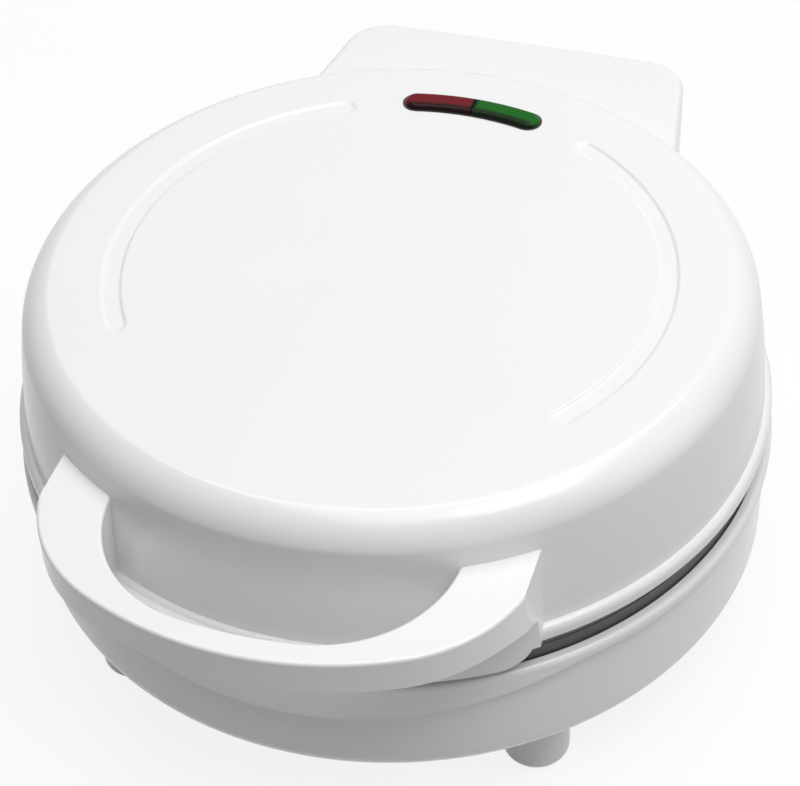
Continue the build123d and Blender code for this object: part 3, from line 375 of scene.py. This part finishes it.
LID_STEPS = 800
LID_TOP = 104.3
FLANGE_BOTTOM = 63.2
FLANGE_RADIUS = 103.2
BEAD_TOP = 67.4
BEAD_RADIUS = 1.9
WALL_FOOT = (101.1, BEAD_TOP)
SHOULDER = (98.0, 96.9)
CROWN_RADIUS = 90.5
CROWN_SOFTNESS = 3.0
SHOULDER_SLOPE = 22.0
WALL_BELLY = 0.5
TOP_RINGS_INSIDE = (0, 35.0, 64.0)
TOP_RINGS_OUTSIDE = (83.0, 88.0)
SHOULDER_SOFTNESS = 0.5
WALL_FOOT_SOFTNESS = 0.15
FLANGE_SOFTNESS = 0.5
POCKET_SOFTNESS = 0.3
LID_WALL = 2.6
POCKET_RADIUS = 101.2
LEDGE_RADIUS = 94.0
LEDGE_DEPTH = 1.6
GROOVE_CIRCLE = 73.7
GROOVE_HALF_WIDTH = 3.0
GROOVE_DEPTH = 0.6
GROOVE_WALL = 0.34
GROOVE_START = 29.0
GROOVE_END = 125.7
GROOVE_STEP = 0.22
INDICATOR_CIRCLE = 73.9
INDICATOR_WIDTH = 8.2
INDICATOR_HALF_ANGLE = 13.0
INDICATOR_CUT_BELOW = 6
INDICATOR_CUT_ABOVE = 3


def lid_outline():
    """Outline of the lid from the middle of its top round to the middle of its ceiling."""
    inner_ceiling = LID_TOP - LID_WALL
    ledge = FLANGE_BOTTOM + LEDGE_DEPTH
    soft = CROWN_SOFTNESS * sin(radians(SHOULDER_SLOPE / 2)) / cos(radians(SHOULDER_SLOPE / 2))
    crown_start = (CROWN_RADIUS - soft, LID_TOP)
    crown_end = (crown_start[0] + CROWN_SOFTNESS * sin(radians(SHOULDER_SLOPE)),
                 LID_TOP - CROWN_SOFTNESS * (1 - cos(radians(SHOULDER_SLOPE))))
    bead_start = (FLANGE_RADIUS - BEAD_RADIUS, BEAD_TOP)
    points = [(radius, LID_TOP) for radius in TOP_RINGS_INSIDE]
    radius = GROOVE_CIRCLE - GROOVE_HALF_WIDTH - 2 * GROOVE_STEP
    while radius < GROOVE_CIRCLE + GROOVE_HALF_WIDTH + 2.5 * GROOVE_STEP:
        points.append((radius, LID_TOP))
        radius += GROOVE_STEP
    points += [(radius, LID_TOP) for radius in TOP_RINGS_OUTSIDE] + [crown_start]
    points += arc_from(crown_start, crown_end, 0, 3)
    points += arc_from(crown_end, SHOULDER, -SHOULDER_SLOPE, 10)
    points += bowed(SHOULDER, WALL_FOOT, WALL_BELLY, 8)
    points += [bead_start]
    points += arc_from(bead_start, (FLANGE_RADIUS, BEAD_TOP - BEAD_RADIUS), 0, 6)
    points += [
        (FLANGE_RADIUS, FLANGE_BOTTOM), (POCKET_RADIUS, FLANGE_BOTTOM), (POCKET_RADIUS, ledge),
        (LEDGE_RADIUS, ledge), (LEDGE_RADIUS, ledge + LID_WALL), (WALL_FOOT[0] - LID_WALL, ledge + LID_WALL),
        (SHOULDER[0] - LID_WALL, SHOULDER[1]), (CROWN_RADIUS - LID_WALL, inner_ceiling), (0, inner_ceiling),
    ]
    return points


def groove_depth_at(x, y):
    """Depth of the two grooves below the flat top, at a place about the body axis in millimetres."""
    radius = hypot(x, y)
    depth = 0.0
    for side in (-1, 1):
        angle = side * (degrees(atan2(x, y)) - TOP_TURN)
        if angle < -180:
            angle += 360
        nearest = min(max(angle, GROOVE_START), GROOVE_END)
        away = radians(angle - nearest)
        off = hypot(radius * cos(away) - GROOVE_CIRCLE, radius * sin(away))
        share = off / GROOVE_HALF_WIDTH
        if share < 1:
            down = min(1.0, (1 - share) / GROOVE_WALL)
            depth = GROOVE_DEPTH * down ** 2 * (3 - 2 * down)
    return depth


def make_lid_shell():
    """Lid moulding with its two grooves and the slot of the indicator."""
    mesh = spun(lid_outline(), LID_STEPS)
    for vert in mesh.verts:
        if abs(vert.co.z - LID_TOP * MM) < 0.001 * MM:
            vert.co.z -= groove_depth_at(vert.co.x / MM, vert.co.y / MM) * MM
    soften(mesh, *SHOULDER, SHOULDER_SOFTNESS)
    soften(mesh, *WALL_FOOT, WALL_FOOT_SOFTNESS, 2)
    soften(mesh, FLANGE_RADIUS, FLANGE_BOTTOM, FLANGE_SOFTNESS)
    soften(mesh, POCKET_RADIUS, FLANGE_BOTTOM, POCKET_SOFTNESS, 2)
    lid = finished(mesh, "lid_moulding", "lid", "white_plastic", ["lid_shell"])
    slot = curved_slot(INDICATOR_CIRCLE, INDICATOR_WIDTH, INDICATOR_HALF_ANGLE, LID_TOP - INDICATOR_CUT_BELOW,
                       LID_TOP + INDICATOR_CUT_ABOVE, TOP_TURN)
    cut_out(lid, slot)


make_lid_shell()


# Base shell, in millimetres about the body axis

BASE_STEPS = 360
BASE_BOTTOM = 19.8
BASE_WALL = 2.6
RIM_TOP = 55.2
RIM_RADIUS = 104.0
RIM_EDGE = 1.4
RIM_FACE = 3.0
RIM_HEIGHT = 5.0
RIM_FACE_STEP = 0.8
COVE_HEADING = 45
BASE_RADIUS = 102.3
BASE_LOW_RADIUS = 102.7
BASE_FLAT_RADIUS = 94.9
BASE_CORNER_TOP = 26.2
BASE_RING = 60.0
BASE_BELLY = 0.2
APRON_DEPTH = 11.7
APRON_HALF_WIDTH = 72.0
APRON_FLARE = 0.5
APRON_STEP = 1.1
VENT_WIDTH = 3.0
VENT_HALF_ANGLE = 8.5
VENT_ROWS = (34.0, 44.0)
VENTS_PER_ROW = 12
VENT_CUT_BELOW = 1
VENT_CUT_ABOVE = 4
EAR_INNER = 29.0
EAR_WIDTH = 12.0
EAR_RADIUS = 7.0
EAR_ROOT_INSET = 6.0
EAR_ROOT_DEPTH = 10.0
EAR_ROOT_SLANT = 4.0
# Where the arm's upper and lower corners lie in the eye: back from its centre, and in from its top or bottom
EAR_UPPER = (3.5, 0.9)
EAR_LOWER = (2.0, 0.3)
HINGE_REACH = 119.0
HINGE_HEIGHT = 62.0
INLET_HEIGHT = 31.8
INLET_BOSS_RADIUS = 10.5
INLET_BORE_RADIUS = 6.0
BOSS_ROOT = 6
BOSS_PROUD = 0.3
BORE_INSIDE = 12
BORE_OUTSIDE = 4


def base_outline():
    """Outline of the base from the middle of its underside round to the middle of its floor."""
    ledge = RIM_TOP - LEDGE_DEPTH
    low_wall = (BASE_LOW_RADIUS, BASE_CORNER_TOP)
    wall_top = (BASE_RADIUS, RIM_TOP - RIM_HEIGHT)
    face_end = (RIM_RADIUS, RIM_TOP - RIM_FACE)
    under = ((RIM_RADIUS + BASE_RADIUS) / 2, RIM_TOP - (RIM_FACE + RIM_HEIGHT) / 2)
    points = [(0, BASE_BOTTOM), (BASE_RING, BASE_BOTTOM), (BASE_FLAT_RADIUS, BASE_BOTTOM)]
    points += arc_from(points[-1], low_wall, 0, 8)
    points += bowed(low_wall, wall_top, BASE_BELLY, 12)
    points += arc_from(wall_top, under, 90, 4)
    points += arc_from(under, face_end, COVE_HEADING, 4)[:-1] + [face_end]
    points += [(RIM_RADIUS, RIM_TOP - RIM_FACE + RIM_FACE_STEP), (RIM_RADIUS, RIM_TOP - RIM_EDGE)]
    points += arc_from(points[-1], (RIM_RADIUS - RIM_EDGE, RIM_TOP), 90, 6)
    points += [
        (POCKET_RADIUS, RIM_TOP), (POCKET_RADIUS, ledge),
        (LEDGE_RADIUS, ledge), (LEDGE_RADIUS, ledge - BASE_WALL),
        (BASE_RADIUS - BASE_WALL, ledge - BASE_WALL), (BASE_LOW_RADIUS - BASE_WALL, BASE_CORNER_TOP),
        (BASE_FLAT_RADIUS, BASE_BOTTOM + BASE_WALL), (0, BASE_BOTTOM + BASE_WALL),
    ]
    return points


def press_apron(mesh):
    """Pulls the rim's lower edge down at the front, to a wide arc."""
    rise = APRON_DEPTH - RIM_FACE
    arc_radius = (APRON_HALF_WIDTH ** 2 + rise ** 2) / (2 * rise)
    wall_top = RIM_TOP - RIM_HEIGHT
    face_end = RIM_TOP - RIM_FACE
    for vert in mesh.verts:
        radius = hypot(vert.co.x, vert.co.y) / MM
        height = vert.co.z / MM
        side = RIM_RADIUS * vert.co.x / MM / max(radius, 1.0)
        outside = radius > BASE_RADIUS - 0.1 and BASE_CORNER_TOP < height < face_end + 0.01
        if vert.co.y > 0 or abs(side) > APRON_HALF_WIDTH or not outside:
            continue
        drop = rise - arc_radius + (arc_radius ** 2 - side ** 2) ** 0.5
        if height > wall_top - 0.01:
            sharper = 1 - (1 - APRON_STEP / (RIM_HEIGHT - RIM_FACE)) * min(1.0, drop / 2)
            new_height = face_end - drop - (face_end - height) * sharper
            flare = APRON_FLARE * drop / rise * max(0.0, (radius - BASE_RADIUS) / (RIM_RADIUS - BASE_RADIUS))
            vert.co.x *= (radius + flare) / radius
            vert.co.y *= (radius + flare) / radius
        else:
            lowered = face_end - drop - (RIM_HEIGHT - RIM_FACE)
            new_height = BASE_CORNER_TOP + (height - BASE_CORNER_TOP) * (lowered - BASE_CORNER_TOP) / (
                wall_top - BASE_CORNER_TOP)
        vert.co.z = new_height * MM


def add_rod(mesh, radius, start, end, axis, place):
    """Round bar between two places along the X or Y axis, in millimetres."""
    turn = Matrix.Rotation(pi / 2, 4, "Y" if axis == "X" else "X")
    along = (start + end) / 2
    x, y, z = (along, *place) if axis == "X" else (place[0], along, place[1])
    bmesh.ops.create_cone(mesh, cap_ends=True, segments=64, radius1=radius * MM, radius2=radius * MM,
                          depth=(end - start) * MM,
                          matrix=Matrix.Translation((x * MM, y * MM, z * MM)) @ turn)


def add_ear(mesh, side):
    """Arm from the rim to the hinge pin, with its round eye."""
    root = RIM_RADIUS - EAR_ROOT_INSET
    profile = [
        (root, RIM_TOP),
        (HINGE_REACH - EAR_UPPER[0], HINGE_HEIGHT + EAR_RADIUS - EAR_UPPER[1]),
        (HINGE_REACH - EAR_LOWER[0], HINGE_HEIGHT - EAR_RADIUS + EAR_LOWER[1]),
        (root, RIM_TOP - EAR_ROOT_DEPTH),
    ]
    corners = [mesh.verts.new((side * EAR_INNER * MM, y * MM, z * MM)) for y, z in profile]
    face = mesh.faces.new(corners)
    raised = bmesh.ops.extrude_face_region(mesh, geom=[face])["geom"]
    far = [v for v in raised if isinstance(v, bmesh.types.BMVert)]
    bmesh.ops.translate(mesh, verts=far, vec=(side * EAR_WIDTH * MM, 0, 0))
    for vert in far:
        if vert.co.y < (root + 1) * MM:
            vert.co.y -= EAR_ROOT_SLANT * MM
    whole = set(corners) | set(far)
    bmesh.ops.recalc_face_normals(mesh, faces=[f for f in mesh.faces if set(f.verts) <= whole])
    low, high = sorted((side * EAR_INNER, side * (EAR_INNER + EAR_WIDTH)))
    add_rod(mesh, EAR_RADIUS, low, high, "X", (HINGE_REACH, HINGE_HEIGHT))


def vent_cutters():
    """All the curved vents of the underside in one mesh."""
    cutters = bmesh.new()
    turn = 360 / VENTS_PER_ROW
    for row, radius in enumerate(VENT_ROWS):
        for index in range(VENTS_PER_ROW):
            middle = (index + row / 2) * turn + VENT_HALF_ANGLE - 90
            vent = curved_slot(radius, VENT_WIDTH, VENT_HALF_ANGLE, BASE_BOTTOM - VENT_CUT_BELOW,
                               BASE_BOTTOM + VENT_CUT_ABOVE, -middle)
            data = bpy.data.meshes.new("vent")
            vent.to_mesh(data)
            vent.free()
            cutters.from_mesh(data)
            bpy.data.meshes.remove(data)
    return cutters


def make_base_shell():
    """Base moulding with its apron, hinge ears, vents and the boss and bore of the inlet."""
    mesh = spun(base_outline(), BASE_STEPS)
    press_apron(mesh)
    add_rod(mesh, INLET_BOSS_RADIUS, BASE_LOW_RADIUS - BOSS_ROOT, BASE_LOW_RADIUS + BOSS_PROUD, "Y",
            (0, INLET_HEIGHT))
    for side in (-1, 1):
        add_ear(mesh, side)
    base = finished(mesh, "base_moulding", "base", "white_plastic", ["base_shell"])
    cut_out(base, vent_cutters(), crossing=True)
    inlet = bmesh.new()
    add_rod(inlet, INLET_BORE_RADIUS, BASE_LOW_RADIUS - BORE_INSIDE, BASE_LOW_RADIUS + BORE_OUTSIDE, "Y",
            (0, INLET_HEIGHT))
    cut_out(base, inlet)


make_base_shell()


# Floor, light and world

FLOOR_BOUNCE = (0.52, 0.52, 0.52)
FLOOR_SEEN = (0.93, 0.93, 0.93)
FLOOR_GLOW = 0.86
FLOOR_SIZE = 8.0
AMBIENT = 0.14
# Each lamp's name, place, aim, size and watts
LAMPS = (
    ("overhead", (0.15, 0.1, 1.3), (0, 0, 0.06), (1.6, 1.2), 16.2),
    ("key", (0.5, -0.2, 1.15), (0, 0, 0.06), (0.5, 0.4), 2.3),
    ("right_side", (1.3, 0.1, 0.6), (0, 0, 0.05), (0.9, 0.9), 2.0),
)


def plain_floor():
    """White studio floor, which shows as near white to the camera and keeps a soft shadow."""
    bpy.ops.mesh.primitive_plane_add(size=FLOOR_SIZE, location=(0, 0, 0))
    floor = bpy.context.object
    floor.name = "studio_floor"
    nodes = Nodes("studio_floor")
    nodes.set(Roughness=0.9)
    rays = nodes.add("ShaderNodeLightPath")
    glow = nodes.add("ShaderNodeEmission")
    glow.inputs["Color"].default_value = (1, 1, 1, 1)
    seen = nodes.add("ShaderNodeMath", operation="MAXIMUM")
    nodes.join(rays.outputs["Is Camera Ray"], seen.inputs[0])
    nodes.join(rays.outputs["Is Glossy Ray"], seen.inputs[1])
    share = nodes.add("ShaderNodeMath", operation="MULTIPLY")
    share.inputs[1].default_value = FLOOR_GLOW
    nodes.join(seen.outputs[0], share.inputs[0])
    nodes.paint("Base Color", nodes.colours(seen.outputs[0], FLOOR_BOUNCE, FLOOR_SEEN))
    mix = nodes.add("ShaderNodeMixShader")
    nodes.join(share.outputs[0], mix.inputs["Fac"])
    nodes.join(nodes.shader.outputs["BSDF"], mix.inputs[1])
    nodes.join(glow.outputs["Emission"], mix.inputs[2])
    nodes.join(mix.outputs["Shader"], nodes.tree.nodes["Material Output"].inputs["Surface"])
    floor.data.materials.append(nodes.material)


def area_light(name, place, target, size, power):
    """Rectangular soft box that looks from its place at a target."""
    data = bpy.data.lights.new(name, "AREA")
    data.shape = "RECTANGLE"
    data.size = size[0]
    data.size_y = size[1]
    data.energy = power
    lamp = bpy.data.objects.new(name, data)
    bpy.context.scene.collection.objects.link(lamp)
    aim = Vector(target) - Vector(place)
    lamp.matrix_world = Matrix.Translation(place) @ aim.to_track_quat("-Z", "Y").to_matrix().to_4x4()


def studio_world(ambient):
    """Faint light from all round, behind a backdrop that the camera and gloss see as white."""
    world = bpy.data.worlds.new("studio")
    bpy.context.scene.world = world
    world.use_nodes = True
    tree = world.node_tree
    tree.nodes.clear()
    out = tree.nodes.new("ShaderNodeOutputWorld")
    rays = tree.nodes.new("ShaderNodeLightPath")
    around = tree.nodes.new("ShaderNodeBackground")
    around.inputs["Color"].default_value = (1, 1, 1, 1)
    around.inputs["Strength"].default_value = ambient
    backdrop = tree.nodes.new("ShaderNodeBackground")
    backdrop.inputs["Color"].default_value = (1, 1, 1, 1)
    backdrop.inputs["Strength"].default_value = 1.0
    mix = tree.nodes.new("ShaderNodeMixShader")
    seen = tree.nodes.new("ShaderNodeMath")
    seen.operation = "MAXIMUM"
    tree.links.new(rays.outputs["Is Camera Ray"], seen.inputs[0])
    tree.links.new(rays.outputs["Is Glossy Ray"], seen.inputs[1])
    tree.links.new(seen.outputs[0], mix.inputs["Fac"])
    tree.links.new(around.outputs["Background"], mix.inputs[1])
    tree.links.new(backdrop.outputs["Background"], mix.inputs[2])
    tree.links.new(mix.outputs["Shader"], out.inputs["Surface"])


plain_floor()
studio_world(AMBIENT)
for lamp in LAMPS:
    area_light(*lamp)


# Camera at the photograph's place

CAMERA_TURN = radians(19.21)
CAMERA_RISE = radians(41.95)
CAMERA_ROLL = radians(-2.79)
CAMERA_DISTANCE = 0.61662
CAMERA_LENS = 100.587
SENSOR_WIDTH = 36.0
AIM_HEIGHT = 0.067
PRINCIPAL_POINT = (394.14, 369.5)
IMAGE_SIZE = (800, 786)


def photo_camera():
    """Camera turned about the body, raised and rolled as the photograph shows."""
    back = Vector((0, -1, 0))
    back.rotate(Matrix.Rotation(-CAMERA_RISE, 3, "X"))
    back.rotate(Matrix.Rotation(CAMERA_TURN, 3, "Z"))
    level = Vector((1, 0, 0))
    level.rotate(Matrix.Rotation(CAMERA_TURN, 3, "Z"))
    roll = Matrix.Rotation(CAMERA_ROLL, 3, back)
    right = roll @ level
    up = roll @ back.cross(level)
    place = body_centre + Vector((0, 0, AIM_HEIGHT)) + back * CAMERA_DISTANCE
    turn = Matrix((right, up, back)).transposed().to_4x4()
    data = bpy.data.cameras.new("photo_camera")
    data.lens = CAMERA_LENS
    data.sensor_width = SENSOR_WIDTH
    data.shift_x = (IMAGE_SIZE[0] / 2 - PRINCIPAL_POINT[0]) / IMAGE_SIZE[0]
    data.shift_y = (PRINCIPAL_POINT[1] - IMAGE_SIZE[1] / 2) / IMAGE_SIZE[0]
    data.clip_start = 0.01
    camera = bpy.data.objects.new("photo_camera", data)
    bpy.context.scene.collection.objects.link(camera)
    camera.matrix_world = Matrix.Translation(place) @ turn
    bpy.context.scene.camera = camera


photo_camera()
bpy.context.scene.view_settings.view_transform = "Standard"
